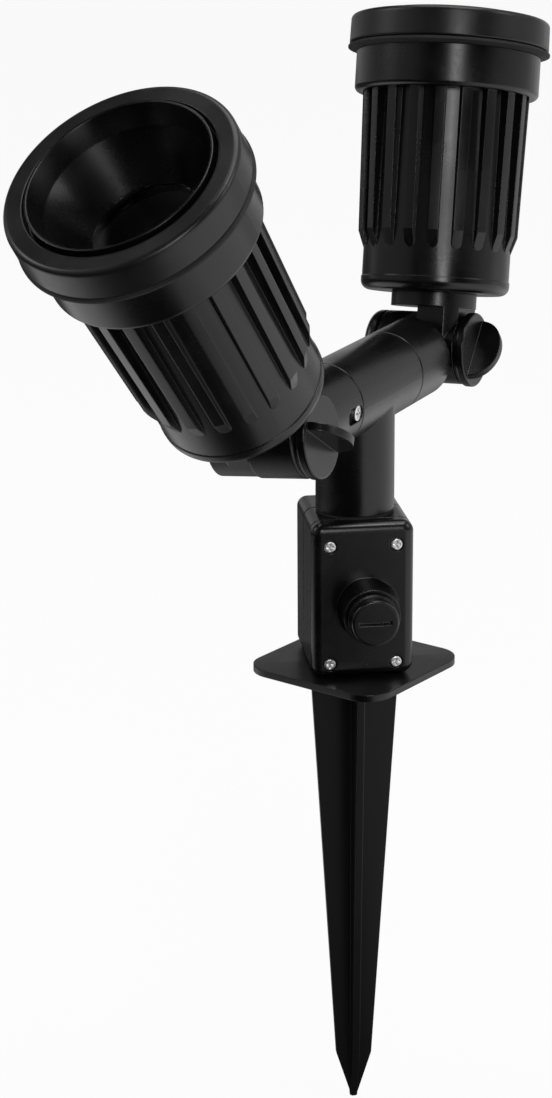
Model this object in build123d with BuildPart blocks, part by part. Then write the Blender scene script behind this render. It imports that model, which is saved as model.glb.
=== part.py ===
from build123d import *
import os
from math import cos, radians, sin

os.makedirs("parts", exist_ok=True)

# Sizes in millimetres. Origin: middle of the flange underside, at soil level. +Z up, the box lid faces -Y.

# Fits shared by every piece
slip = 0.05
gap = 0.3
diagonal = 45.0
slot_share = 1.3
slant_share = 1.4

# Ground spike and its diamond flange
spike_length = 182.0
spike_shoulder_z = -163.0
fin_reach_top = 16.9
fin_reach_low = 6.9
fin_thickness = 2.8
spike_point = 0.9
flange_reach = 43.0
flange_corner = 10.6
flange_edge = 2.6
flange_top = 3.0
flange_crown = 15.0

# Junction box and lid
box_width = 37.8
box_corner = 3.8
box_floor_z = flange_top
box_top_z = 62.3
box_back_y = 20.8
box_wall = 2.2
lid_front_y = -19.6
lid_depth = 6.1
lid_overlap = 0.2
lid_corner = 4.2
lid_round = 3.4
lid_skin = 2.4
gasket_thickness = 0.6
line_y = 4.0
line_width = 0.8
line_depth = 0.4
screw_x = 12.4
screw_low_z = 8.2
screw_high_z = 53.8
lid_head_radius = 2.2
lid_head_height = 1.7
lid_shank_radius = 1.1
lid_screw_reach = 8.6
cross_slot = 0.7
pillar_radius = 3.3
pillar_inner_x = 9.8
pillar_depth = 9.6

# Blanked entry in the middle of the lid
entry_x = 1.6
entry_z = 29.8
boss_radius = 11.6
boss_end_radius = 10.5
boss_reach = 11.0
plug_head_radius = 8.7
plug_head_height = 4.6
plug_flange_radius = 9.4
plug_flange_height = 1.0
plug_thread_radius = 5.6
plug_thread_reach = 12.0
plug_slot_length = 12.0
plug_slot_width = 1.5
plug_slot_depth = 2.4
entry_ring_radius = 0.8

# Connection block inside the box
block_width = 24.0
block_height = 15.0
block_depth = 10.0
block_z = 22.0
clamp_count = 3
clamp_pitch = 7.6
clamp_radius = 2.2
clamp_bore = 1.4
clamp_length = 11.0
clamp_screw_radius = 1.1
clamp_screw_head = 1.6
clamp_screw_z = 3.4

# Screws that hold the box down on the flange
base_screw_xy = 6.6
base_shank_radius = 1.4
base_head_radius = 2.7
base_head_height = 1.8
base_screw_depth = 2.3

# Tee: upright post and level cross tube
cross_turn = 57.0
tee_z = 108.3
post_radius = 14.7
post_seal_thickness = 1.0
post_spigot_radius = 8.2
post_spigot_low_z = 50.0
post_bore = 6.0
post_nut_radius = 10.9
post_nut_height = 5.0
tube_radius = 15.6
tube_half = 28.0
tube_bore = 9.8
spigot_radius = 12.6
spigot_reach = 13.0
ring_groove_at = 8.6
ring_groove_width = 2.2
ring_groove_radius = 11.0
stop_groove_at = 3.6
stop_groove_width = 2.8
stop_groove_radius = 11.5
stop_groove_arc = 210.0
seam_chamfer = 0.5

# Swivel elbows and knuckles
hinge_reach = 75.0
arm_end = 56.0
barrel_radius = 14.2
elbow_half = 17.4
lap_k = -1.2
neck_half = 15.4
neck_barrel_radius = 13.7
barrel_round = 0.8
arm_bore = 7.6
arm_bore_end = 52.0
stop_head_radius = 2.8
stop_head_height = 1.5
stop_shank_radius = 1.25
stop_pocket_floor = 13.5
stop_pocket_length = 12.4
stop_pocket_width = 6.0
stop_angle = 7.0

# Hinge hardware
bolt_radius = 2.5
bolt_tail = 0.8
bolt_head_across = 8.0
bolt_head_height = 3.0
nut_across = 8.0
nut_height = 4.0
nut_pocket_depth = 7.0
cap_thickness = 5.2
cap_round = 3.2
washer_radius = 13.3
washer_thickness = 1.3
knob_radius = 14.5
knob_thickness = 3.4
knob_round = 0.8
wing_half_length = 12.8
wing_height = 10.2
wing_thickness = 2.8

# Lamp heads, heights measured along the head axis from the hinge axis
head_floor = 21.7
neck_radius = 16.8
neck_low = 16.0
neck_spigot_radius = 8.8
neck_spigot_top = 31.0
neck_bore = 4.0
neck_bore_low = 8.0
neck_nut_across = 24.0
neck_nut_height = 4.0
shell_radius = 29.0
shell_bore = 26.4
shell_floor = 2.6
foot_radius = 29.3
foot_round = 3.6
foot_top = 27.0
rib_count = 20
rib_radius_low = 31.4
rib_radius_high = 32.8
rib_width = 4.0
rib_low = 41.4
rib_lead = 6.8
collar_radius = 36.2
collar_low = 99.2
collar_high = 115.2
collar_round = 2.0
ring_spigot_radius = 34.0
ring_spigot_high = 121.5
throat_radius = 31.0
seat_height = collar_low + shell_floor
seal_thickness = 1.4
glass_radius = 29.6
glass_thickness = 3.0
cone_skin = 1.4
cone_mouth_radius = 30.3
cone_step_radius = 27.6
cone_hole_radius = 18.4
cone_step_drop = 7.4
cone_flange_radius = 33.4
cone_flange_thickness = 1.4
bezel_radius = 39.2
bezel_top_radius = 39.0
bezel_low = 117.7
bezel_front = 129.1
bezel_round = 1.8
bezel_mouth_radius = 32.3
bezel_ledge_thickness = 1.5
lip_proud = 1.2
skirt_radius = 39.7
skirt_drop = 1.3

# Lamp, its holder and the holder screws
lamp_front = 95.0
lamp_radius = 24.8
lamp_rim_height = 7.0
lamp_neck_radius = 12.0
lamp_neck_height = 60.0
lamp_base_height = 43.0
lamp_base_radius = 9.5
pin_spacing = 10.0
pin_radius = 1.25
pin_head_radius = 2.4
pin_head_height = 2.0
pin_low = 36.0
holder_low = 33.0
holder_radius = 12.6
holder_top = lamp_base_height
ear_half_length = 21.5
ear_width = 9.0
ear_thickness = 2.6
ear_hole_at = 18.0
stud_radius = 3.0
holder_shank_radius = 1.3
holder_head_radius = 2.5
holder_head_height = 1.7
holder_screw_low = 27.0

# Pose in the picture
tilt_angle_front = 38.9
tilt_angle_rear = 13.6
swivel_angle_front = -5.7
swivel_angle_rear = -2.4
wing_turn_front = 149.0
wing_turn_rear = 44.0

lid_seam_y = lid_front_y + lid_depth
body_front_y = lid_seam_y + gasket_thickness
box_height = box_top_z - box_floor_z
box_middle_z = (box_top_z + box_floor_z) / 2
post_foot_z = box_top_z + post_seal_thickness
lip_height = bezel_front + lip_proud
cone_step_height = lip_height - cone_step_drop
glass_low = seat_height + seal_thickness
glass_top = glass_low + glass_thickness
cone_low = glass_top + slip
cone_seat = ring_spigot_high + slip
cone_rim_radius = cone_mouth_radius + cone_skin / 2
bezel_ledge_radius = cone_rim_radius + gap
skirt_top = bezel_low - slip
screw_places = [(side * screw_x, z) for side in (-1, 1) for z in (screw_low_z, screw_high_z)]
pillar_width = (box_width - box_wall) / 2 - pillar_inner_x
pillar_spans = [
    (box_floor_z + box_wall / 2, screw_low_z + pillar_radius),
    (screw_high_z - pillar_radius, box_top_z - box_wall / 2),
]
base_places = [(i * base_screw_xy, j * base_screw_xy) for i in (-1, 1) for j in (-1, 1)]


def save(piece, name):
    piece.part.label = name
    export_step(piece.part, f"parts/{name}.step")


def facing_front(y):
    """Plane facing -Y with sketch axes +X and +Z."""
    return Plane(origin=(0, y, 0), x_dir=(1, 0, 0), z_dir=(0, -1, 0))


def spun(direction, about, angle):
    """A direction turned about a unit vector square to it."""
    return direction * cos(radians(angle)) + about.cross(direction) * sin(radians(angle))


def section_plane(origin, radial, axis_dir):
    """Plane through an axis, with sketch axes along the radius and the axis."""
    return Plane(origin=origin, x_dir=radial, z_dir=radial.cross(axis_dir))


def turned(plane, outline, rounds=()):
    """Body turned about the sketch Y axis of a plane from radius and height points."""
    with BuildPart() as piece:
        with BuildSketch(plane) as section:
            with BuildLine():
                Polyline(*outline, close=True)
            make_face()
            for radius, height, size in rounds:
                fillet(section.vertices().sort_by_distance((radius, height))[0], size)
        revolve(axis=Axis(plane.origin, plane.y_dir))
    return piece


def ring_seal(plane, middle_radius, height, section_radius):
    """Round section sealing ring about the sketch Y axis of a plane."""
    with BuildPart() as piece:
        with BuildSketch(plane):
            with Locations((middle_radius, height)):
                Circle(section_radius)
        revolve(axis=Axis(plane.origin, plane.y_dir))
    return piece


# Ground spike: four fins on a cross, one moulding with the diamond flange
flange_square = flange_reach * 2 ** 0.5
with BuildPart() as ground_spike:
    with BuildSketch(Plane.XY):
        RectangleRounded(flange_square, flange_square, flange_corner, rotation=diagonal)
    extrude(amount=flange_edge)
    with BuildSketch(Plane.XY.offset(flange_edge)):
        RectangleRounded(flange_square, flange_square, flange_corner, rotation=diagonal)
    with BuildSketch(Plane.XY.offset(flange_top)):
        Rectangle(flange_crown * 2, flange_crown * 2, rotation=diagonal)
    loft()
    for fin_plane in (Plane.XZ, Plane.YZ):
        with BuildSketch(fin_plane):
            with BuildLine():
                Polyline(
                    (-fin_reach_top, 0),
                    (fin_reach_top, 0),
                    (fin_reach_low, spike_shoulder_z),
                    (spike_point, -spike_length),
                    (-spike_point, -spike_length),
                    (-fin_reach_low, spike_shoulder_z),
                    close=True,
                )
            make_face()
        extrude(amount=fin_thickness / 2, both=True)
    with BuildSketch(Plane.XY.offset(flange_top)):
        with Locations(*base_places):
            Circle(base_shank_radius + slip)
    extrude(amount=-base_screw_depth - gap, mode=Mode.SUBTRACT)
save(ground_spike, "ground_spike")

# Box body: open to the front, with four screw pillars in its corners
with BuildPart() as box_body:
    with BuildSketch(facing_front(box_back_y)):
        with Locations((0, box_middle_z)):
            RectangleRounded(box_width, box_height, box_corner)
    extrude(amount=box_back_y - body_front_y)
    fillet(box_body.faces().sort_by(Axis.Y)[-1].edges(), line_width)
    with BuildSketch(facing_front(line_y)):
        with Locations((0, box_middle_z)):
            RectangleRounded(box_width + box_wall, box_height + box_wall, box_corner)
            RectangleRounded(
                box_width - 2 * line_depth, box_height - 2 * line_depth, box_corner, mode=Mode.SUBTRACT
            )
    extrude(amount=line_width, mode=Mode.SUBTRACT)
    with BuildSketch(facing_front(body_front_y)):
        with Locations((0, box_middle_z)):
            RectangleRounded(box_width - 2 * box_wall, box_height - 2 * box_wall, box_corner - box_wall)
    extrude(amount=body_front_y - box_back_y + box_wall, mode=Mode.SUBTRACT)
    for side in (-1, 1):
        for low_z, high_z in pillar_spans:
            with BuildSketch(facing_front(body_front_y + pillar_depth)):
                with Locations((side * (pillar_inner_x + pillar_width / 2), (low_z + high_z) / 2)):
                    Rectangle(pillar_width, high_z - low_z)
            extrude(amount=pillar_depth)
    with BuildSketch(facing_front(body_front_y)):
        with Locations(*screw_places):
            Circle(lid_shank_radius + slip)
    extrude(amount=-lid_screw_reach, mode=Mode.SUBTRACT)
    with BuildSketch(Plane.XY.offset(box_top_z - box_wall)):
        Circle(post_spigot_radius + slip)
    extrude(amount=box_wall, mode=Mode.SUBTRACT)
    with BuildSketch(Plane.XY.offset(box_floor_z)):
        with Locations(*base_places):
            Circle(base_shank_radius + slip)
    extrude(amount=box_wall, mode=Mode.SUBTRACT)
save(box_body, "box_body")

# Sealing frame between box and lid
with BuildPart() as lid_gasket:
    with BuildSketch(facing_front(body_front_y)):
        with Locations((0, box_middle_z)):
            RectangleRounded(box_width - gap, box_height - gap, box_corner)
            RectangleRounded(
                box_width - 2 * box_wall, box_height - 2 * box_wall, box_corner - box_wall, mode=Mode.SUBTRACT
            )
    extrude(amount=gasket_thickness)
save(lid_gasket, "lid_gasket")

# Lid: pillowed cover with a round entry boss
lid_width = box_width + 2 * lid_overlap
entry_plane = Plane(origin=(entry_x, lid_front_y, entry_z), x_dir=(1, 0, 0), z_dir=(0, 0, -1))
with BuildPart() as box_lid:
    with BuildSketch(facing_front(lid_seam_y)):
        with Locations((0, box_middle_z)):
            RectangleRounded(lid_width, box_height, lid_corner)
    extrude(amount=lid_depth)
    fillet(box_lid.faces().sort_by(Axis.Y)[0].edges(), lid_round)
    with BuildSketch(facing_front(lid_seam_y)):
        with Locations((0, box_middle_z)):
            RectangleRounded(box_width - 2 * box_wall, box_height - 2 * box_wall, box_corner - box_wall)
    extrude(amount=lid_depth - lid_skin, mode=Mode.SUBTRACT)
    with BuildSketch(facing_front(lid_seam_y)):
        with Locations(*screw_places):
            Circle(pillar_radius)
    extrude(amount=lid_depth - lid_skin)
    with BuildSketch(entry_plane):
        with BuildLine():
            Polyline(
                (0, -lid_skin),
                (boss_radius, -lid_skin),
                (boss_radius, 0),
                (boss_end_radius, boss_reach),
                (0, boss_reach),
                close=True,
            )
        make_face()
    revolve(axis=Axis(entry_plane.origin, entry_plane.y_dir))
    with BuildSketch(facing_front(lid_seam_y)):
        with Locations((entry_x, entry_z)):
            Circle(plug_thread_radius + slip)
        with Locations(*screw_places):
            Circle(lid_shank_radius + slip)
    extrude(amount=lid_depth + boss_reach, mode=Mode.SUBTRACT)
    with BuildSketch(facing_front(lid_front_y)):
        with Locations(*screw_places):
            Circle(lid_head_radius + gap)
    extrude(amount=-lid_head_height + gap, mode=Mode.SUBTRACT)
save(box_lid, "box_lid")

# Lid screws: cross slotted pan heads
head_seat_y = lid_front_y + lid_head_height - gap
with BuildPart() as lid_screws:
    with BuildSketch(facing_front(head_seat_y)):
        with Locations(*screw_places):
            Circle(lid_head_radius)
    extrude(amount=lid_head_height)
    fillet(lid_screws.edges().filter_by(GeomType.CIRCLE).group_by(Axis.Y)[0], lid_head_height / 3)
    with BuildSketch(facing_front(head_seat_y)):
        with Locations(*screw_places):
            Circle(lid_shank_radius)
    extrude(amount=-(body_front_y - head_seat_y) - lid_screw_reach + gap)
    with BuildSketch(facing_front(head_seat_y - lid_head_height)):
        with Locations(*screw_places):
            Rectangle(lid_head_radius * slot_share, cross_slot)
            Rectangle(cross_slot, lid_head_radius * slot_share)
    extrude(amount=-lid_head_height / 2, mode=Mode.SUBTRACT)
save(lid_screws, "lid_screws")

# Slotted blanking plug screwed into the boss, with its ring
plug_seat = boss_reach + 2 * entry_ring_radius
plug_face = plug_seat + plug_flange_height + plug_head_height
with BuildPart() as entry_plug:
    with BuildSketch(entry_plane) as plug_section:
        with BuildLine():
            Polyline(
                (0, plug_seat - plug_thread_reach),
                (plug_thread_radius, plug_seat - plug_thread_reach),
                (plug_thread_radius, plug_seat),
                (plug_flange_radius, plug_seat),
                (plug_flange_radius, plug_seat + plug_flange_height),
                (plug_head_radius, plug_seat + plug_flange_height),
                (plug_head_radius, plug_face),
                (0, plug_face),
                close=True,
            )
        make_face()
        fillet(plug_section.vertices().sort_by_distance((plug_head_radius, plug_face))[0], line_width)
    revolve(axis=Axis(entry_plane.origin, entry_plane.y_dir))
    with BuildSketch(facing_front(lid_front_y - plug_face)):
        with Locations((entry_x, entry_z)):
            Rectangle(plug_slot_length, plug_slot_width)
    extrude(amount=-plug_slot_depth, mode=Mode.SUBTRACT)
save(entry_plug, "entry_plug")

entry_ring_middle = plug_thread_radius + slip + entry_ring_radius + gap
entry_seal = ring_seal(entry_plane, entry_ring_middle, boss_reach + entry_ring_radius, entry_ring_radius)
save(entry_seal, "entry_seal")

# Connection block: insulated body, brass clamps, clamp screws
block_back_y = box_back_y - box_wall
clamp_y = block_back_y - block_depth / 2
clamp_xs = [(i - (clamp_count - 1) / 2) * clamp_pitch for i in range(clamp_count)]
clamp_places = [(x, clamp_y) for x in clamp_xs]
clamp_screw_places = [(x, block_z + s * clamp_screw_z) for x in clamp_xs for s in (-1, 1)]
with BuildPart() as terminal_block:
    with BuildSketch(facing_front(block_back_y)):
        with Locations((0, block_z)):
            RectangleRounded(block_width, block_height, clamp_bore)
    extrude(amount=block_depth)
    with BuildSketch(Plane.XY.offset(block_z - block_height / 2)):
        with Locations(*clamp_places):
            Circle(clamp_radius + slip)
    extrude(amount=block_height, mode=Mode.SUBTRACT)
    with BuildSketch(facing_front(clamp_y)):
        with Locations(*clamp_screw_places):
            Circle(clamp_screw_head + slip)
    extrude(amount=block_depth / 2, mode=Mode.SUBTRACT)
save(terminal_block, "terminal_block")

with BuildPart() as terminal_clamps:
    with BuildSketch(Plane.XY.offset(block_z - clamp_length / 2)):
        with Locations(*clamp_places):
            Circle(clamp_radius)
            Circle(clamp_bore, mode=Mode.SUBTRACT)
    extrude(amount=clamp_length)
    with BuildSketch(facing_front(clamp_y)):
        with Locations(*clamp_screw_places):
            Circle(clamp_screw_radius + slip)
    extrude(amount=block_depth, mode=Mode.SUBTRACT)
save(terminal_clamps, "terminal_clamps")

clamp_face_y = clamp_y - clamp_radius
with BuildPart() as terminal_screws:
    with BuildSketch(facing_front(clamp_y - gap)):
        with Locations(*clamp_screw_places):
            Circle(clamp_screw_radius)
    extrude(amount=clamp_radius)
    with BuildSketch(facing_front(clamp_face_y - gap)):
        with Locations(*clamp_screw_places):
            Circle(clamp_screw_head)
    extrude(amount=clamp_screw_radius)
    with BuildSketch(facing_front(clamp_face_y - gap - clamp_screw_radius)):
        with Locations(*clamp_screw_places):
            Rectangle(clamp_screw_head * 2, cross_slot)
    extrude(amount=-clamp_screw_radius / 2, mode=Mode.SUBTRACT)
save(terminal_screws, "terminal_screws")

# Screws from inside the box down into the flange
box_inner_z = box_floor_z + box_wall
with BuildPart() as base_screws:
    with BuildSketch(Plane.XY.offset(box_inner_z)):
        with Locations(*base_places):
            Circle(base_head_radius)
    extrude(amount=base_head_height)
    with BuildSketch(Plane.XY.offset(box_inner_z)):
        with Locations(*base_places):
            Circle(base_shank_radius)
    extrude(amount=-box_wall - base_screw_depth)
    with BuildSketch(Plane.XY.offset(box_inner_z + base_head_height)):
        with Locations(*base_places):
            Rectangle(base_head_radius * slot_share, cross_slot)
            Rectangle(cross_slot, base_head_radius * slot_share)
    extrude(amount=-base_head_height / 2, mode=Mode.SUBTRACT)
save(base_screws, "base_screws")

# Foot seal and lock nut of the post
with BuildPart() as post_seal:
    with BuildSketch(Plane.XY.offset(box_top_z)):
        Circle(post_radius - gap)
        Circle(post_spigot_radius + slip, mode=Mode.SUBTRACT)
    extrude(amount=post_seal_thickness)
save(post_seal, "post_seal")

post_nut_z = box_top_z - box_wall
with BuildPart() as post_nut:
    with BuildSketch(Plane.XY.offset(post_nut_z)):
        RegularPolygon(post_nut_radius, 6)
        Circle(post_spigot_radius + slip, mode=Mode.SUBTRACT)
    extrude(amount=-post_nut_height)
save(post_nut, "post_nut")

# Tee: post, cross tube and a spigot at each end
tube_dir = Vector(cos(radians(cross_turn)), sin(radians(cross_turn)), 0)
side_dir = Vector(sin(radians(cross_turn)), -cos(radians(cross_turn)), 0)
up_dir = Vector(0, 0, 1)
tee_centre = Vector(0, 0, tee_z)
tube_plane = Plane(origin=tee_centre, x_dir=side_dir, z_dir=tube_dir)
tube_section = section_plane(tee_centre, side_dir, tube_dir)
spigot_end = tube_half + spigot_reach
with BuildPart() as tee_post:
    with BuildSketch(Plane.XY.offset(post_foot_z)):
        Circle(post_radius)
    extrude(amount=tee_z - post_foot_z)
    with BuildSketch(Plane.XY.offset(post_foot_z)):
        Circle(post_spigot_radius)
    extrude(amount=post_spigot_low_z - post_foot_z)
    with BuildSketch(tube_plane):
        Circle(tube_radius)
    extrude(amount=tube_half, both=True)
    with BuildSketch(tube_plane):
        Circle(spigot_radius)
    extrude(amount=spigot_end, both=True)
    with BuildSketch(tube_plane):
        Circle(tube_bore)
    extrude(amount=spigot_end, both=True, mode=Mode.SUBTRACT)
    with BuildSketch(Plane.XY.offset(post_spigot_low_z)):
        Circle(post_bore)
    extrude(amount=tee_z - post_spigot_low_z, mode=Mode.SUBTRACT)
    for end in (-1, 1):
        with BuildSketch(tube_section):
            with Locations((spigot_radius, end * (tube_half + ring_groove_at))):
                Rectangle(2 * (spigot_radius - ring_groove_radius), ring_groove_width)
            with Locations((tube_radius, end * tube_half)):
                RegularPolygon(seam_chamfer, 4)
        revolve(axis=Axis(tee_centre, tube_dir), mode=Mode.SUBTRACT)
        groove_start = spun(side_dir * -end, tube_dir, -stop_groove_arc / 2)
        with BuildSketch(section_plane(tee_centre, groove_start, tube_dir)):
            with Locations((spigot_radius, end * (tube_half + stop_groove_at))):
                Rectangle(2 * (spigot_radius - stop_groove_radius), stop_groove_width)
        revolve(axis=Axis(tee_centre, tube_dir), revolution_arc=stop_groove_arc, mode=Mode.SUBTRACT)
save(tee_post, "tee_post")


def build_side(tag, outward, swivel, tilt, wing_turn):
    """One swivel elbow, its knuckle and its lamp head. Outward is +1 or -1 along the cross tube."""
    out_dir = tube_dir * outward
    pin_dir = side_dir * cos(radians(swivel)) - up_dir * sin(radians(swivel))
    rise_dir = up_dir * cos(radians(swivel)) + side_dir * sin(radians(swivel))
    head_dir = rise_dir * cos(radians(tilt)) + out_dir * sin(radians(tilt))
    hinge = tee_centre + out_dir * hinge_reach
    lap_centre = hinge + pin_dir * lap_k

    # The same elbow and neck serve both ends, so their half laps change sides along the pin
    elbow_dir = pin_dir * -outward
    neck_dir = pin_dir * outward

    # Planes: across the arm, at the lap and the outer ends of the knuckle, and for turned pieces
    arm_plane = Plane(origin=tee_centre, x_dir=pin_dir, z_dir=out_dir)
    arm_section = section_plane(tee_centre, pin_dir, out_dir)
    arm_side = Plane(origin=tee_centre, x_dir=out_dir, z_dir=spun(elbow_dir, out_dir, -stop_angle))
    elbow_lap = Plane(origin=lap_centre, x_dir=out_dir, z_dir=elbow_dir)
    elbow_end = Plane(origin=lap_centre + elbow_dir * elbow_half, x_dir=out_dir, z_dir=neck_dir)
    neck_lap = Plane(origin=lap_centre, x_dir=head_dir, z_dir=neck_dir)
    neck_end = Plane(origin=lap_centre + neck_dir * neck_half, x_dir=head_dir, z_dir=elbow_dir)
    knob_end, nut_end = (elbow_end, neck_end) if outward < 0 else (neck_end, elbow_end)
    knob_seat = Plane(origin=knob_end.origin + pin_dir * washer_thickness, x_dir=head_dir, z_dir=pin_dir)
    head_plane = Plane(origin=hinge, x_dir=pin_dir, z_dir=head_dir)
    head_section = section_plane(hinge, pin_dir, head_dir)
    head_axis = Axis(hinge, head_dir)
    socket_radius = spigot_radius + slip
    lap_web = hinge_reach - arm_end + slip
    barrel_length = elbow_half - barrel_round

    # Elbow: socket over the tee spigot, round arm, half lap barrel
    with BuildPart() as elbow:
        with BuildSketch(arm_plane.offset(arm_end - slip)):
            Circle(tube_radius)
        extrude(amount=hinge_reach - arm_end)
        with BuildSketch(elbow_lap):
            with Locations((-lap_web / 2, 0)):
                Rectangle(lap_web, 2 * barrel_radius)
        extrude(amount=barrel_length, mode=Mode.INTERSECT)
        with BuildSketch(elbow_lap):
            Circle(barrel_radius)
        extrude(amount=barrel_length)
        with BuildSketch(elbow_lap.offset(barrel_length)):
            Circle(barrel_radius)
        extrude(amount=barrel_round, taper=diagonal)
        with BuildSketch(arm_plane.offset(tube_half)):
            Circle(tube_radius)
        extrude(amount=arm_end - tube_half)
        with BuildSketch(arm_plane.offset(tube_half)):
            Circle(socket_radius)
        extrude(amount=spigot_reach + gap, mode=Mode.SUBTRACT)
        with BuildSketch(arm_plane.offset(tube_half)):
            Circle(arm_bore)
        extrude(amount=arm_bore_end - tube_half, mode=Mode.SUBTRACT)
        with BuildSketch(arm_section):
            with Locations((tube_radius, tube_half)):
                RegularPolygon(seam_chamfer, 4)
        revolve(axis=Axis(tee_centre, out_dir), mode=Mode.SUBTRACT)
        with BuildSketch(elbow_end):
            Circle(bolt_radius + slip)
        extrude(amount=elbow_half, mode=Mode.SUBTRACT)
        with BuildSketch(elbow_end):
            RegularPolygon((nut_across + 2 * slip) / 2, 6, major_radius=False)
        extrude(amount=nut_pocket_depth, mode=Mode.SUBTRACT)
        stop_x = tube_half + stop_groove_at
        with BuildSketch(arm_side.offset(stop_pocket_floor)):
            with Locations((stop_x - stop_pocket_width / 2 + stop_pocket_length / 2, 0)):
                SlotOverall(stop_pocket_length, stop_pocket_width)
        extrude(amount=tube_radius, mode=Mode.SUBTRACT)
        with BuildSketch(arm_side):
            with Locations((stop_x, 0)):
                Circle(stop_shank_radius + slip)
        extrude(amount=tube_radius, mode=Mode.SUBTRACT)
    save(elbow, f"elbow_{tag}")

    ring_middle = (ring_groove_radius + socket_radius) / 2
    ring_section = (socket_radius - ring_groove_radius) / 2 - slip / 2
    save(ring_seal(arm_section, ring_middle, tube_half + ring_groove_at, ring_section), f"elbow_seal_{tag}")

    # Stop screw: radial, its tip runs in the groove of the spigot
    with BuildPart() as stop_screw:
        with BuildSketch(arm_side.offset(stop_pocket_floor)):
            with Locations((stop_x, 0)):
                Circle(stop_head_radius)
        extrude(amount=stop_head_height)
        with BuildSketch(arm_side.offset(stop_pocket_floor)):
            with Locations((stop_x, 0)):
                Circle(stop_shank_radius)
        extrude(amount=stop_groove_radius + gap - stop_pocket_floor)
        with BuildSketch(arm_side.offset(stop_pocket_floor + stop_head_height)):
            with Locations((stop_x, 0)):
                Rectangle(stop_head_radius * slot_share, cross_slot)
                Rectangle(cross_slot, stop_head_radius * slot_share)
        extrude(amount=-stop_head_height / 2, mode=Mode.SUBTRACT)
    save(stop_screw, f"stop_screw_{tag}")

    # Neck: half lap barrel below, round foot under the lamp housing, hollow spigot into it
    with BuildPart() as neck:
        with BuildSketch(head_plane):
            Circle(neck_radius)
        extrude(amount=neck_low)
        with BuildSketch(neck_lap):
            with Locations((neck_low / 2, 0)):
                Rectangle(neck_low, 2 * neck_barrel_radius)
        extrude(amount=neck_half, mode=Mode.INTERSECT)
        with BuildSketch(neck_lap):
            Circle(neck_barrel_radius)
        extrude(amount=neck_half)
        with BuildSketch(head_plane.offset(neck_low)):
            Circle(neck_radius)
        extrude(amount=head_floor - neck_low)
        with BuildSketch(head_plane.offset(head_floor)):
            Circle(neck_spigot_radius)
        extrude(amount=neck_spigot_top - head_floor)
        with BuildSketch(head_plane.offset(neck_bore_low)):
            Circle(neck_bore)
        extrude(amount=neck_spigot_top - neck_bore_low, mode=Mode.SUBTRACT)
        with BuildSketch(neck_end):
            Circle(bolt_radius + slip)
        extrude(amount=neck_half, mode=Mode.SUBTRACT)
        with BuildSketch(neck_end):
            RegularPolygon((nut_across + 2 * slip) / 2, 6, major_radius=False)
        extrude(amount=nut_pocket_depth, mode=Mode.SUBTRACT)
    save(neck, f"neck_{tag}")

    shell_inner_floor = head_floor + shell_floor
    with BuildPart() as neck_nut:
        with BuildSketch(head_plane.offset(shell_inner_floor)):
            RegularPolygon(neck_nut_across / 2, 6, major_radius=False)
            Circle(neck_spigot_radius + slip, mode=Mode.SUBTRACT)
        extrude(amount=neck_nut_height)
    save(neck_nut, f"neck_nut_{tag}")

    # Hinge bolt with its nut in the far pocket, washer and winged knob on the near side
    bolt_start = nut_pocket_depth - nut_height - bolt_tail
    with BuildPart() as hinge_bolt:
        with BuildSketch(nut_end.offset(bolt_start)):
            Circle(bolt_radius)
        extrude(amount=elbow_half + neck_half + washer_thickness - bolt_start)
        with BuildSketch(knob_seat):
            RegularPolygon(bolt_head_across / 2, 6, major_radius=False)
        extrude(amount=bolt_head_height)
    save(hinge_bolt, f"hinge_bolt_{tag}")

    with BuildPart() as hinge_nut:
        with BuildSketch(nut_end.offset(nut_pocket_depth)):
            RegularPolygon(nut_across / 2, 6, major_radius=False)
            Circle(bolt_radius + slip, mode=Mode.SUBTRACT)
        extrude(amount=-nut_height)
    save(hinge_nut, f"hinge_nut_{tag}")

    with BuildPart() as hinge_washer:
        with BuildSketch(knob_seat):
            Circle(washer_radius)
            Circle(bolt_radius + slip, mode=Mode.SUBTRACT)
        extrude(amount=-washer_thickness)
    save(hinge_washer, f"hinge_washer_{tag}")

    wing_plane = section_plane(knob_seat.origin, spun(tube_dir, pin_dir, wing_turn), pin_dir)
    with BuildPart() as knob:
        with BuildSketch(knob_seat):
            Circle(knob_radius)
        extrude(amount=knob_thickness)
        fillet(knob.edges().filter_by(GeomType.CIRCLE), knob_round)
        with BuildSketch(wing_plane):
            with Locations((0, knob_thickness)):
                Ellipse(wing_half_length, wing_height)
                with Locations((0, -wing_height / 2)):
                    Rectangle(2 * wing_half_length, wing_height, mode=Mode.SUBTRACT)
        extrude(amount=wing_thickness / 2, both=True)
        with BuildSketch(knob_seat):
            RegularPolygon((bolt_head_across + 2 * slip) / 2, 6, major_radius=False)
        extrude(amount=bolt_head_height + slip, mode=Mode.SUBTRACT)
    save(knob, f"hinge_knob_{tag}")

    # Round cap over the nut where it sits in the elbow
    if nut_end is elbow_end:
        cap_section = section_plane(nut_end.origin, out_dir, elbow_dir)
        with BuildPart() as hinge_cap:
            with BuildSketch(cap_section) as cap_outline:
                with BuildLine():
                    Polyline(
                        (0, 0),
                        (barrel_radius - seam_chamfer, 0),
                        (barrel_radius, seam_chamfer),
                        (barrel_radius, cap_thickness),
                        (0, cap_thickness),
                        close=True,
                    )
                make_face()
                fillet(cap_outline.vertices().sort_by_distance((barrel_radius, cap_thickness))[0], cap_round)
            revolve(axis=Axis(nut_end.origin, elbow_dir))
            with BuildSketch(nut_end):
                RegularPolygon(nut_across / 2, 6, major_radius=False)
            extrude(amount=bolt_start - gap)
        save(hinge_cap, f"hinge_cap_{tag}")

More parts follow.
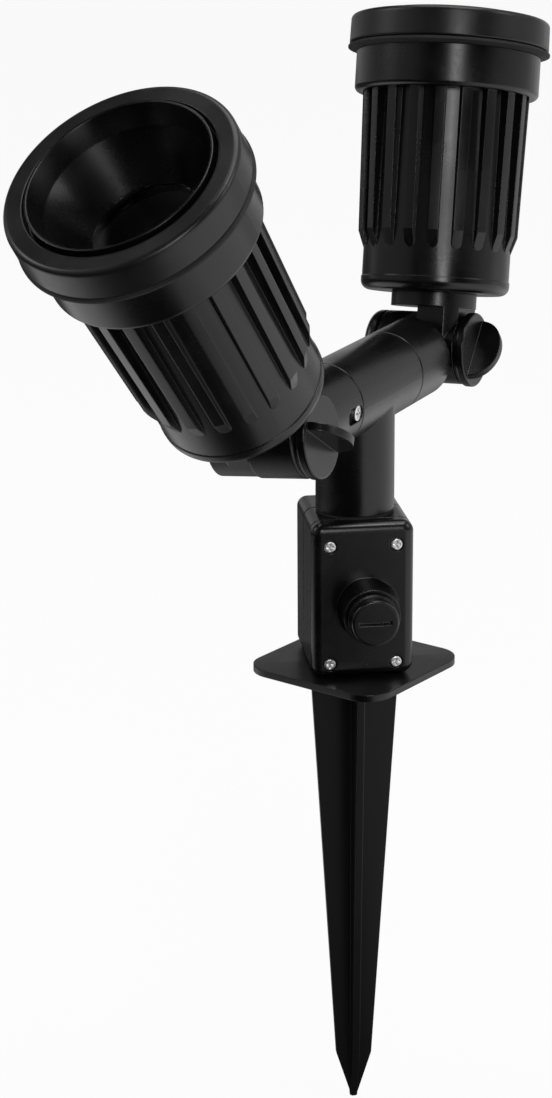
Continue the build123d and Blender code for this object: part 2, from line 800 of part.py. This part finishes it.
    # Lamp housing: plain foot, fluted body, plain collar and the spigot for the bezel
    rib_root = shell_bore + shell_floor / 2
    rib_start = rib_low - rib_lead / 2
    rib_end = collar_low + rib_width
    with BuildPart() as housing:
        for i in range(rib_count):
            rib_dir = spun(pin_dir, head_dir, i * 360 / rib_count)
            with BuildSketch(Plane(origin=hinge + rib_dir * rib_root, x_dir=head_dir, z_dir=rib_dir)):
                with Locations(((rib_start + rib_end) / 2, 0)):
                    SlotOverall(rib_end - rib_start, rib_width)
            extrude(amount=collar_radius - rib_root)
        with BuildSketch(head_section):
            with BuildLine():
                Polyline(
                    (rib_root, rib_start),
                    (shell_radius, rib_start),
                    (rib_radius_low, rib_low + rib_lead / 2),
                    (rib_radius_high, collar_low),
                    (rib_root, collar_low),
                    close=True,
                )
            make_face()
        revolve(axis=head_axis, mode=Mode.INTERSECT)
        with BuildSketch(head_section) as shell:
            with BuildLine():
                Polyline(
                    (neck_spigot_radius + slip, head_floor),
                    (foot_radius, head_floor),
                    (foot_radius, foot_top),
                    (shell_radius, foot_top),
                    (shell_radius, collar_low),
                    (collar_radius, collar_low),
                    (collar_radius, collar_high),
                    (ring_spigot_radius, collar_high),
                    (ring_spigot_radius, ring_spigot_high),
                    (throat_radius, ring_spigot_high),
                    (throat_radius, seat_height),
                    (shell_bore, seat_height),
                    (shell_bore, shell_inner_floor),
                    (neck_spigot_radius + slip, shell_inner_floor),
                    close=True,
                )
            make_face()
            fillet(shell.vertices().sort_by_distance((foot_radius, head_floor))[0], foot_round)
            fillet(shell.vertices().sort_by_distance((collar_radius, collar_low))[0], collar_round)
        revolve(axis=head_axis)
        with BuildSketch(head_plane.offset(shell_inner_floor)):
            with Locations((ear_hole_at, 0), (-ear_hole_at, 0)):
                Circle(stud_radius)
        extrude(amount=holder_low - shell_inner_floor)
        with BuildSketch(head_plane.offset(holder_low)):
            with Locations((ear_hole_at, 0), (-ear_hole_at, 0)):
                Circle(holder_shank_radius + slip)
        extrude(amount=holder_screw_low - gap - holder_low, mode=Mode.SUBTRACT)
    save(housing, f"lamp_housing_{tag}")

    # Lamp holder on two studs, its screws, and the lamp
    with BuildPart() as holder:
        with BuildSketch(head_plane.offset(holder_low)):
            Circle(holder_radius)
        extrude(amount=holder_top - holder_low)
        with BuildSketch(head_plane.offset(holder_low)):
            Rectangle(2 * ear_half_length, ear_width)
        extrude(amount=ear_thickness)
        with BuildSketch(head_plane.offset(holder_low)):
            with Locations((ear_hole_at, 0), (-ear_hole_at, 0)):
                Circle(holder_shank_radius + slip)
        extrude(amount=ear_thickness, mode=Mode.SUBTRACT)
        with BuildSketch(head_plane.offset(holder_top)):
            with Locations((pin_spacing / 2, 0), (-pin_spacing / 2, 0)):
                Circle(pin_head_radius + gap)
        extrude(amount=pin_low - gap - holder_top, mode=Mode.SUBTRACT)
    save(holder, f"lamp_holder_{tag}")

    with BuildPart() as holder_screws:
        with BuildSketch(head_plane.offset(holder_low + ear_thickness)):
            with Locations((ear_hole_at, 0), (-ear_hole_at, 0)):
                Circle(holder_head_radius)
        extrude(amount=holder_head_height)
        with BuildSketch(head_plane.offset(holder_low + ear_thickness)):
            with Locations((ear_hole_at, 0), (-ear_hole_at, 0)):
                Circle(holder_shank_radius)
        extrude(amount=holder_screw_low - holder_low - ear_thickness)
    save(holder_screws, f"holder_screws_{tag}")

    with BuildPart() as lamp:
        with BuildSketch(head_section):
            with BuildLine():
                Polyline(
                    (0, lamp_base_height),
                    (lamp_base_radius, lamp_base_height),
                    (lamp_neck_radius, lamp_neck_height),
                    (lamp_radius, lamp_front - lamp_rim_height),
                    (lamp_radius, lamp_front),
                    (0, lamp_front),
                    close=True,
                )
            make_face()
        revolve(axis=head_axis)
        with BuildSketch(head_plane.offset(lamp_base_height)):
            with Locations((pin_spacing / 2, 0), (-pin_spacing / 2, 0)):
                Circle(pin_radius)
        extrude(amount=pin_low - lamp_base_height)
        with BuildSketch(head_plane.offset(pin_low)):
            with Locations((pin_spacing / 2, 0), (-pin_spacing / 2, 0)):
                Circle(pin_head_radius)
        extrude(amount=pin_head_height)
    save(lamp, f"lamp_{tag}")

    # Glass on its seal, glare cone, skirted seal and bezel
    lens_seal = turned(
        head_section,
        [
            (shell_bore + gap, seat_height),
            (throat_radius - gap, seat_height),
            (throat_radius - gap, glass_low),
            (shell_bore + gap, glass_low),
        ],
    )
    save(lens_seal, f"lens_seal_{tag}")
    lens = turned(
        head_section,
        [(0, glass_low), (glass_radius, glass_low), (glass_radius, glass_top), (0, glass_top)],
    )
    save(lens, f"lens_{tag}")
    cone_flange_top = cone_seat + cone_flange_thickness
    glare_cone = turned(
        head_section,
        [
            (cone_hole_radius, cone_low),
            (glass_radius - gap, cone_low),
            (glass_radius - gap, cone_low + cone_skin),
            (cone_hole_radius + cone_skin * slant_share, cone_low + cone_skin),
            (cone_step_radius + cone_skin, cone_seat),
            (cone_flange_radius, cone_seat),
            (cone_flange_radius, cone_flange_top),
            (cone_rim_radius, cone_flange_top),
            (cone_rim_radius, lip_height),
            (cone_mouth_radius, lip_height),
            (cone_step_radius, cone_step_height),
            (cone_hole_radius, cone_low + cone_skin / 2),
        ],
    )
    save(glare_cone, f"glare_cone_{tag}")
    skirt_seal = turned(
        head_section,
        [
            (ring_spigot_radius + gap, collar_high),
            (collar_radius - gap, collar_high),
            (skirt_radius, skirt_top - skirt_drop),
            (skirt_radius, skirt_top - skirt_drop / 2),
            (bezel_radius - knob_round, skirt_top),
            (ring_spigot_radius + gap, skirt_top),
        ],
    )
    save(skirt_seal, f"bezel_seal_{tag}")
    bezel = turned(
        head_section,
        [
            (ring_spigot_radius + slip, bezel_low),
            (bezel_radius, bezel_low),
            (bezel_top_radius, bezel_front),
            (bezel_mouth_radius, bezel_front),
            (bezel_mouth_radius, cone_flange_top + bezel_ledge_thickness),
            (bezel_ledge_radius, cone_flange_top + bezel_ledge_thickness),
            (bezel_ledge_radius, cone_flange_top),
            (ring_spigot_radius + slip, cone_flange_top),
        ],
        [(bezel_top_radius, bezel_front, bezel_round), (bezel_radius, bezel_low, knob_round)],
    )
    save(bezel, f"bezel_{tag}")


build_side("front", -1, swivel_angle_front, tilt_angle_front, wing_turn_front)
build_side("rear", 1, swivel_angle_rear, tilt_angle_rear, wing_turn_rear)
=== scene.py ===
import math

import bpy
from mathutils import Matrix, Vector


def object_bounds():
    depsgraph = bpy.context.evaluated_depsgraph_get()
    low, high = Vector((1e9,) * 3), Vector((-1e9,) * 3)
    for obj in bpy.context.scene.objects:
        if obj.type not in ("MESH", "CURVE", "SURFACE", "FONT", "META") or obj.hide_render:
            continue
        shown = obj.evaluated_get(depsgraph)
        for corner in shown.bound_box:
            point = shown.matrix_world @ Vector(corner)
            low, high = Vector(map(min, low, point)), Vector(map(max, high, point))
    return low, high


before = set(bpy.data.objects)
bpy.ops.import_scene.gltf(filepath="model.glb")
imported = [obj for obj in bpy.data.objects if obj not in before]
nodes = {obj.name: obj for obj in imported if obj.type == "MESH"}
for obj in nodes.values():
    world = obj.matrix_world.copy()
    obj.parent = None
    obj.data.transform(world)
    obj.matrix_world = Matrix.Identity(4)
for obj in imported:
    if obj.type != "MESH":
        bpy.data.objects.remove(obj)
cad_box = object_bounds()
scene = bpy.context.scene

WHITE = (1.0, 1.0, 1.0)


# Node graphs

class Graph:
    """Adds and links the nodes of one node tree."""

    def __init__(self, tree):
        self.tree = tree

    def add(self, kind, **settings):
        node = self.tree.nodes.new(kind)
        for key, value in settings.items():
            setattr(node, key, value)
        return node

    def put(self, value, socket):
        """Links a node's output to a socket, or sets the socket's own number, vector or colour."""
        if isinstance(value, bpy.types.NodeSocket):
            self.tree.links.new(value, socket)
        elif socket.type == "RGBA":
            socket.default_value = (*value, 1.0)
        else:
            socket.default_value = value

    def math(self, operation, first, second):
        node = self.add("ShaderNodeMath", operation=operation)
        self.put(first, node.inputs[0])
        self.put(second, node.inputs[1])
        return node.outputs["Value"]

    def measure(self, operation, first, second):
        """Number that two vectors give, such as their distance or dot product."""
        node = self.add("ShaderNodeVectorMath", operation=operation)
        self.put(first, node.inputs[0])
        self.put(second, node.inputs[1])
        return node.outputs["Value"]

    def ramp(self, value, span, levels):
        """Smooth change from the first level to the second while the value goes through the span."""
        node = self.add("ShaderNodeMapRange", interpolation_type="SMOOTHSTEP")
        self.put(value, node.inputs["Value"])
        for key, number in zip(("From Min", "From Max", "To Min", "To Max"), (*span, *levels)):
            self.put(number, node.inputs[key])
        return node.outputs["Result"]

    def mix(self, factor, first, second):
        """Colour that goes from the first to the second with the factor."""
        node = self.add("ShaderNodeMix", data_type="RGBA")
        self.put(factor, node.inputs["Factor"])
        colours = [socket for socket in node.inputs if socket.type == "RGBA"]
        self.put(first, colours[0])
        self.put(second, colours[1])
        return next(socket for socket in node.outputs if socket.type == "RGBA")

    def blend(self, factor, first, second):
        """Shader that goes from the first to the second with the factor."""
        node = self.add("ShaderNodeMixShader")
        self.put(factor, node.inputs["Fac"])
        self.put(first, node.inputs[1])
        self.put(second, node.inputs[2])
        return node.outputs["Shader"]

    def white_glow(self, kind, strength):
        """White Emission or Background shader."""
        node = self.add(kind)
        self.put(WHITE, node.inputs["Color"])
        self.put(strength, node.inputs["Strength"])
        return node.outputs[0]

    def by_ray(self, lit, mirrored, seen):
        """One shader for the light given off, one for reflections, one for the camera and through glass."""
        rays = self.add("ShaderNodeLightPath").outputs
        direct = self.math("MAXIMUM", rays["Is Camera Ray"], rays["Is Transmission Ray"])
        return self.blend(direct, self.blend(rays["Is Glossy Ray"], lit, mirrored), seen)


class Finish(Graph):
    """Graph of one material, with the object's own coordinates in metres."""

    def __init__(self, name):
        self.material = bpy.data.materials.new(name)
        self.material.use_nodes = True
        super().__init__(self.material.node_tree)
        self.bsdf = self.tree.nodes["Principled BSDF"]
        self.coords = self.add("ShaderNodeTexCoord").outputs["Object"]

    def surface(self, socket, value):
        self.put(value, self.bsdf.inputs[socket])

    def noise(self, scale, detail=3.0, rough=0.55, stretch=None):
        """Cloudy pattern from 0 to 1, with its scale in patches per metre."""
        node = self.add("ShaderNodeTexNoise")
        self.put(scale, node.inputs["Scale"])
        self.put(detail, node.inputs["Detail"])
        self.put(rough, node.inputs["Roughness"])
        place = self.coords
        if stretch:
            mapping = self.add("ShaderNodeMapping")
            self.put(self.coords, mapping.inputs["Vector"])
            self.put(stretch, mapping.inputs["Scale"])
            place = mapping.outputs["Vector"]
        self.put(place, node.inputs["Vector"])
        return node.outputs["Fac"]

    def bump(self, height, strength, depth, normal=None):
        node = self.add("ShaderNodeBump")
        self.put(strength, node.inputs["Strength"])
        self.put(depth, node.inputs["Distance"])
        self.put(height, node.inputs["Height"])
        if normal is not None:
            self.put(normal, node.inputs["Normal"])
        return node.outputs["Normal"]

    def soft_edges(self, radius):
        """Normal that rounds the edges by the radius."""
        node = self.add("ShaderNodeBevel", samples=8)
        self.put(radius, node.inputs["Radius"])
        return node.outputs["Normal"]

    def edge_mask(self, soft):
        """0 on faces, towards 1 where the rounded normal leaves the face normal."""
        face = self.add("ShaderNodeNewGeometry").outputs["Normal"]
        return self.ramp(self.measure("DOT_PRODUCT", soft, face), (0.80, 0.995), (1.0, 0.0))


# Materials

noise_middle = (0.3, 0.7)
full_range = (0.0, 1.0)


def moulded(name, dark, pale, rough, grain, edge=0.0006, stretch=None):
    """Black moulded plastic: fine spark grain, cloudy gloss, faint scuffs, and paler edges that are partly
    wear and partly a painted highlight.
    """
    s = Finish(name)
    scuff_tone, scuff_weight, scuff_dulling = tuple(3.2 * c for c in pale), 0.35, 0.10
    # Paler edge colour: partly wear, partly a painted highlight along the rounded edges
    edge_wear_and_highlight_tone, edge_wear_and_highlight_weight = tuple(2.5 * c for c in pale), 0.5
    speck_height = 0.7
    soft = s.soft_edges(edge)
    cloud = s.noise(scale=38.0, detail=4.0, rough=0.6, stretch=stretch)
    speck = s.noise(scale=900.0, detail=2.0, rough=0.5)
    fine = s.noise(scale=2600.0, detail=3.0, rough=0.6)
    scratch = s.noise(scale=240.0, detail=6.0, rough=0.75, stretch=(1.0, 1.0, 0.16))
    marks = s.ramp(scratch, (0.60, 0.74), (0.0, 0.5))
    worn_and_highlit_edge = s.math("MULTIPLY", s.edge_mask(soft), edge_wear_and_highlight_weight)

    tone = s.mix(s.ramp(cloud, noise_middle, full_range), dark, pale)
    tone = s.mix(s.math("MULTIPLY", marks, scuff_weight), tone, scuff_tone)
    # Edges paled in the base colour: partly wear, partly a painted highlight
    s.surface("Base Color", s.mix(worn_and_highlit_edge, tone, edge_wear_and_highlight_tone))

    gloss = s.ramp(cloud, (0.25, 0.75), (rough - 0.05, rough + 0.06))
    gloss = s.math("ADD", gloss, s.ramp(speck, (0.35, 0.65), (-0.008, 0.012)))
    s.surface("Roughness", s.math("ADD", gloss, s.math("MULTIPLY", marks, scuff_dulling)))

    height = s.math("ADD", fine, s.math("MULTIPLY", speck, speck_height))
    s.surface("Normal", s.bump(height, strength=grain, depth=0.00012, normal=soft))
    return s.material


def rubber(name):
    """Dull black rubber with a fine powdery grain."""
    s = Finish(name)
    cloud = s.noise(scale=60.0, detail=4.0)
    s.surface("Base Color", s.mix(cloud, (0.008, 0.008, 0.008), (0.020, 0.020, 0.019)))
    s.surface("Roughness", s.ramp(cloud, noise_middle, (0.62, 0.80)))
    s.surface("Normal", s.bump(s.noise(scale=1900.0, detail=4.0), strength=0.3, depth=0.0002))
    return s.material


def metal(name, dark, pale, rough):
    """Plated or bare metal with turning marks and light tarnish."""
    s = Finish(name)
    soft = s.soft_edges(0.0003)
    brushed = s.noise(scale=900.0, detail=4.0, rough=0.7, stretch=(1.0, 0.12, 1.0))
    cloud = s.noise(scale=150.0)
    s.surface("Base Color", s.mix(s.ramp(cloud, noise_middle, full_range), dark, pale))
    s.surface("Metallic", 1.0)
    s.surface("Roughness", s.ramp(brushed, noise_middle, (rough - 0.06, rough + 0.08)))
    s.surface("Normal", s.bump(brushed, strength=0.12, depth=0.0001, normal=soft))
    return s.material


def smooth_moulding(name, dark, pale, rough):
    """Plain plastic, ceramic or enamel with a cloudy tone and a slight grain."""
    s = Finish(name)
    soft = s.soft_edges(0.0004)
    cloud = s.noise(scale=70.0, detail=4.0)
    s.surface("Base Color", s.mix(cloud, dark, pale))
    s.surface("Roughness", s.ramp(cloud, noise_middle, (rough - 0.05, rough + 0.07)))
    s.surface("Normal", s.bump(s.noise(scale=1500.0), strength=0.15, depth=0.0002, normal=soft))
    return s.material


def glass(name):
    """Clear front glass with a faint smear that changes its gloss."""
    s = Finish(name)
    smear = s.noise(scale=45.0, detail=5.0, rough=0.65)
    s.surface("Base Color", (0.96, 0.98, 0.97))
    s.surface("Transmission Weight", 1.0)
    s.surface("IOR", 1.48)
    s.surface("Roughness", s.ramp(smear, (0.35, 0.75), (0.01, 0.09)))
    s.surface("Normal", s.bump(smear, strength=0.03, depth=0.0004))
    return s.material


body_black = moulded(
    "body_black", (0.0020, 0.0020, 0.0023), (0.0036, 0.0036, 0.0042), rough=0.27, grain=0.008
)
ribbed_black = moulded(
    "ribbed_black", (0.0020, 0.0020, 0.0024), (0.0036, 0.0036, 0.0043), rough=0.25, grain=0.005, edge=0.0004
)
bezel_black = moulded(
    "bezel_black", (0.0036, 0.0036, 0.0038), (0.0062, 0.0062, 0.0064), rough=0.33, grain=0.03, edge=0.0008
)
lid_black = moulded(
    "lid_black", (0.0016, 0.0016, 0.0019), (0.0030, 0.0030, 0.0034), rough=0.25, grain=0.008
)
cone_black = moulded(
    "cone_black", (0.0012, 0.0012, 0.0014), (0.0022, 0.0022, 0.0025), rough=0.27, grain=0.04
)
spike_black = moulded(
    "spike_black", (0.0009, 0.0009, 0.0010), (0.0020, 0.0020, 0.0021), rough=0.33, grain=0.015,
    stretch=(1.0, 1.0, 0.12)
)
seal_rubber = rubber("seal_rubber")
bright_steel = metal("bright_steel", (0.80, 0.80, 0.81), (0.93, 0.93, 0.93), rough=0.34)
brass = metal("brass", (0.62, 0.42, 0.16), (0.80, 0.58, 0.26), rough=0.30)
pale_plastic = smooth_moulding("pale_plastic", (0.55, 0.54, 0.50), (0.70, 0.69, 0.66), rough=0.45)
ceramic = smooth_moulding("ceramic", (0.66, 0.64, 0.58), (0.80, 0.78, 0.73), rough=0.30)
lamp_dark = smooth_moulding("lamp_dark", (0.0015, 0.0015, 0.0017), (0.0030, 0.0030, 0.0033), rough=0.35)
clear_glass = glass("clear_glass")


# Finish of each CAD node

by_name = {
    "ground_spike": spike_black,
    "box_body": body_black,
    "box_lid": lid_black,
    "lid_gasket": seal_rubber,
    "lid_screws": bright_steel,
    "entry_plug": lid_black,
    "entry_seal": seal_rubber,
    "base_screws": bright_steel,
    "terminal_block": pale_plastic,
    "terminal_clamps": brass,
    "terminal_screws": bright_steel,
    "tee_post": body_black,
    "post_seal": seal_rubber,
    "post_nut": body_black,
    "hinge_cap_rear": body_black,
}
for tag in ("front", "rear"):
    by_name.update({
        f"elbow_{tag}": body_black,
        f"elbow_seal_{tag}": seal_rubber,
        f"stop_screw_{tag}": bright_steel,
        f"neck_{tag}": body_black,
        f"neck_nut_{tag}": body_black,
        f"hinge_bolt_{tag}": bright_steel,
        f"hinge_nut_{tag}": bright_steel,
        f"hinge_washer_{tag}": body_black,
        f"hinge_knob_{tag}": body_black,
        f"lamp_housing_{tag}": ribbed_black,
        f"lamp_holder_{tag}": ceramic,
        f"holder_screws_{tag}": bright_steel,
        f"lamp_{tag}": lamp_dark,
        f"lens_seal_{tag}": seal_rubber,
        f"lens_{tag}": clear_glass,
        f"glare_cone_{tag}": cone_black,
        f"bezel_seal_{tag}": seal_rubber,
        f"bezel_{tag}": bezel_black,
    })
for name, node in nodes.items():
    node.data.materials.clear()
    node.data.materials.append(by_name[name])


# Floor: pale, with the object's soft shadow

floor_gap = 0.0005
floor_half = 6.0
floor_whiteness = 0.92
floor_tones = ((0.78, 0.78, 0.78), (0.82, 0.82, 0.82))
floor_z = cad_box[0].z - floor_gap


def floor_in_reflections(s):
    """Brightness of the floor in the object's gloss: a pool at the left, and pale ground at the right."""
    pool_centre = (-0.38, 0.15, floor_z)
    view_slant = 0.167
    position = s.add("ShaderNodeNewGeometry").outputs["Position"]
    axes = s.add("ShaderNodeSeparateXYZ")
    s.put(position, axes.inputs["Vector"])
    x, y = axes.outputs["X"], axes.outputs["Y"]

    pool = s.ramp(s.measure("DISTANCE", position, pool_centre), (0.15, 0.42), (1.0, 0.06))
    pool = s.math("MULTIPLY", pool, s.ramp(y, (-0.30, -0.05), (0.0, 1.0)))

    slanted_x = s.math("ADD", x, s.math("MULTIPLY", y, view_slant))
    near = s.ramp(slanted_x, (-0.01, 0.06), (0.0, 0.70))
    near = s.math("MULTIPLY", near, s.ramp(y, (-0.15, 0.05), (1.0, 0.25)))

    beside = s.ramp(x, (0.15, 0.5), (0.0, 0.85))
    beside = s.math("MULTIPLY", beside, s.ramp(y, (0.15, 0.9), (1.0, 0.4)))

    brightness = s.math("ADD", pool, s.math("ADD", near, beside))
    return s.math("MINIMUM", brightness, 1.0)


def floor_material():
    """Pale ground that the camera sees as nearly white, apart from the shadow on it."""
    s = Finish("floor_pale")
    s.tree.nodes.remove(s.bsdf)
    ground = s.add("ShaderNodeBsdfDiffuse")
    s.put(s.mix(s.noise(scale=60.0), *floor_tones), ground.inputs["Color"])
    lit = ground.outputs["BSDF"]
    mirrored = s.white_glow("ShaderNodeEmission", floor_in_reflections(s))
    seen = s.blend(floor_whiteness, lit, s.white_glow("ShaderNodeEmission", 1.0))
    output = s.tree.nodes["Material Output"]
    s.put(s.by_ray(lit, mirrored, seen), output.inputs["Surface"])
    return s.material


corners = [(-1, -1), (1, -1), (1, 1), (-1, 1)]
floor_mesh = bpy.data.meshes.new("floor")
floor_mesh.from_pydata([(i * floor_half, j * floor_half, floor_z) for i, j in corners], [], [(0, 1, 2, 3)])
floor_mesh.materials.append(floor_material())
floor = bpy.data.objects.new("floor", floor_mesh)
scene.collection.objects.link(floor)


# World: white to the camera, even light, and paler sides in reflections

ambient_strength = 0.45
reflected_sides = (
    # direction, span of the dot product with it, brightness at the span's ends
    ((0.0, 1.0, -1.0), (0.3, 0.85), (0.0, 0.5)),
    ((1.0, 0.3, 0.0), (0.2, 0.95), (0.0, 0.45)),
    ((-1.0, 0.0, 0.2), (0.6, 0.95), (0.0, 0.27)),
)


def studio_world():
    """World with one brightness for the light, one for reflections and white for the camera."""
    world = bpy.data.worlds.new("studio")
    world.use_nodes = True
    g = Graph(world.node_tree)
    g.tree.nodes.clear()
    direction = g.add("ShaderNodeTexCoord").outputs["Generated"]
    brightness = 0.0
    for toward, span, levels in reflected_sides:
        side = g.ramp(g.measure("DOT_PRODUCT", direction, toward), span, levels)
        brightness = g.math("ADD", side, brightness)
    lit = g.white_glow("ShaderNodeBackground", ambient_strength)
    mirrored = g.white_glow("ShaderNodeBackground", brightness)
    seen = g.white_glow("ShaderNodeBackground", 1.0)
    output = g.add("ShaderNodeOutputWorld")
    g.put(g.by_ray(lit, mirrored, seen), output.inputs["Surface"])
    return world


scene.world = studio_world()


# Lamps: soft boxes around the object

lamp_target = Vector((0.0, 0.0, 0.08))
softboxes = {
    # name: place, width and height in metres, power in watts
    "front_strip": ((0.05, -1.75, 0.70), (0.34, 0.9), 7.0),
    "top_box": ((0.1, 0.35, 1.7), (1.4, 1.2), 11.0),
    "lid_strip": ((0.30, -0.45, 1.75), (0.5, 0.4), 4.4),
    "left_top": ((-1.40, 0.23, 1.05), (0.5, 0.7), 3.4),
    "right_top": ((1.30, -0.55, 1.08), (0.6, 0.6), 3.4),
}
for name, (place, (width, height), power) in softboxes.items():
    light = bpy.data.lights.new(name, "AREA")
    light.shape = "RECTANGLE"
    light.size = width
    light.size_y = height
    light.energy = power
    softbox = bpy.data.objects.new(name, light)
    scene.collection.objects.link(softbox)
    softbox.location = place
    softbox.rotation_mode = "QUATERNION"
    softbox.rotation_quaternion = (lamp_target - Vector(place)).to_track_quat("-Z", "Y")


# Camera at the photograph's viewing angle; the pixel values are in its frame of 552 x 1098

photo_width, photo_height = 552.0, 1098.0
focal_px = 2384.01
centre_px = (262.52, 449.74)
camera_turn = math.radians(-9.45)
camera_height = 0.31716
camera_reach = 0.85386
aim_yaw = math.radians(2.3)
aim_pitch = math.radians(15.2)
aim_roll = math.radians(-0.46)

heading = camera_turn + aim_yaw
forward = Vector((
    -math.sin(heading) * math.cos(aim_pitch), math.cos(heading) * math.cos(aim_pitch), -math.sin(aim_pitch)
))
level = Vector((math.cos(heading), math.sin(heading), 0.0))
upright = level.cross(forward)
right = level * math.cos(aim_roll) + upright * math.sin(aim_roll)
up = upright * math.cos(aim_roll) - level * math.sin(aim_roll)

camera_data = bpy.data.cameras.new("camera")
camera_data.sensor_width = 36.0
camera_data.lens = focal_px / photo_height * camera_data.sensor_width
camera_data.shift_x = (photo_width / 2 - centre_px[0]) / photo_height
camera_data.shift_y = (centre_px[1] - photo_height / 2) / photo_height
camera_data.clip_start = 0.01
camera_data.clip_end = 60.0
camera = bpy.data.objects.new("camera", camera_data)
scene.collection.objects.link(camera)
camera.matrix_world = Matrix((
    (right.x, up.x, -forward.x, math.sin(camera_turn) * camera_reach),
    (right.y, up.y, -forward.y, -math.cos(camera_turn) * camera_reach),
    (right.z, up.z, -forward.z, camera_height),
    (0.0, 0.0, 0.0, 1.0),
))
scene.camera = camera
scene.view_settings.view_transform = "Standard"
